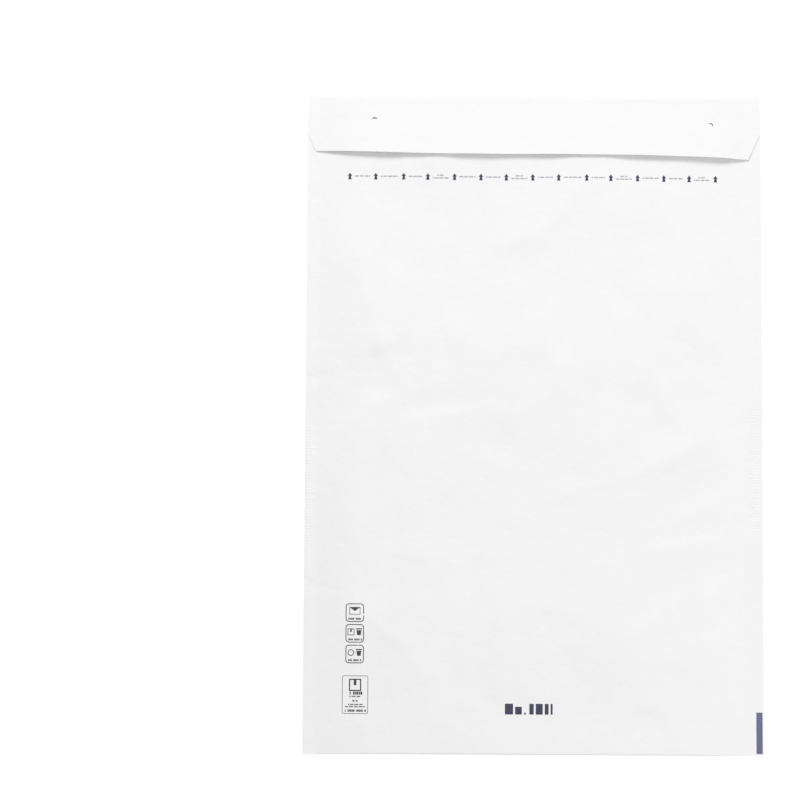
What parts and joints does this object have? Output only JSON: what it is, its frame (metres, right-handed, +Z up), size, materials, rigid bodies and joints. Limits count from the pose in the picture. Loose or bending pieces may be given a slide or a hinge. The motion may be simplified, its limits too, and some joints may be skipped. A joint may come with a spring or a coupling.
{
  "type": "padded envelope",
  "caption": "Large white padded mailing envelope with welded side seams, a bubble film lining and a closing flap folded over its mouth.",
  "frame": {"origin": "under the middle of the envelope as it lies, on the surface that it lies on", "axes": "+X across the envelope, +Y from the bottom fold to the flap, +Z up through the panel that the flap covers"},
  "size_m": [0.318, 0.461, 0.0118],
  "materials": {
    "white_paper": "matte",
    "bubble_film": "gloss",
    "adhesive": "satin",
    "release_paper": "satin"
  },
  "bodies": {
    "root": {"paper_shell": "white_paper", "bubble_lining": "bubble_film", "adhesive_band": "adhesive", "release_strip": "release_paper"}
  },
  "joints": []
}
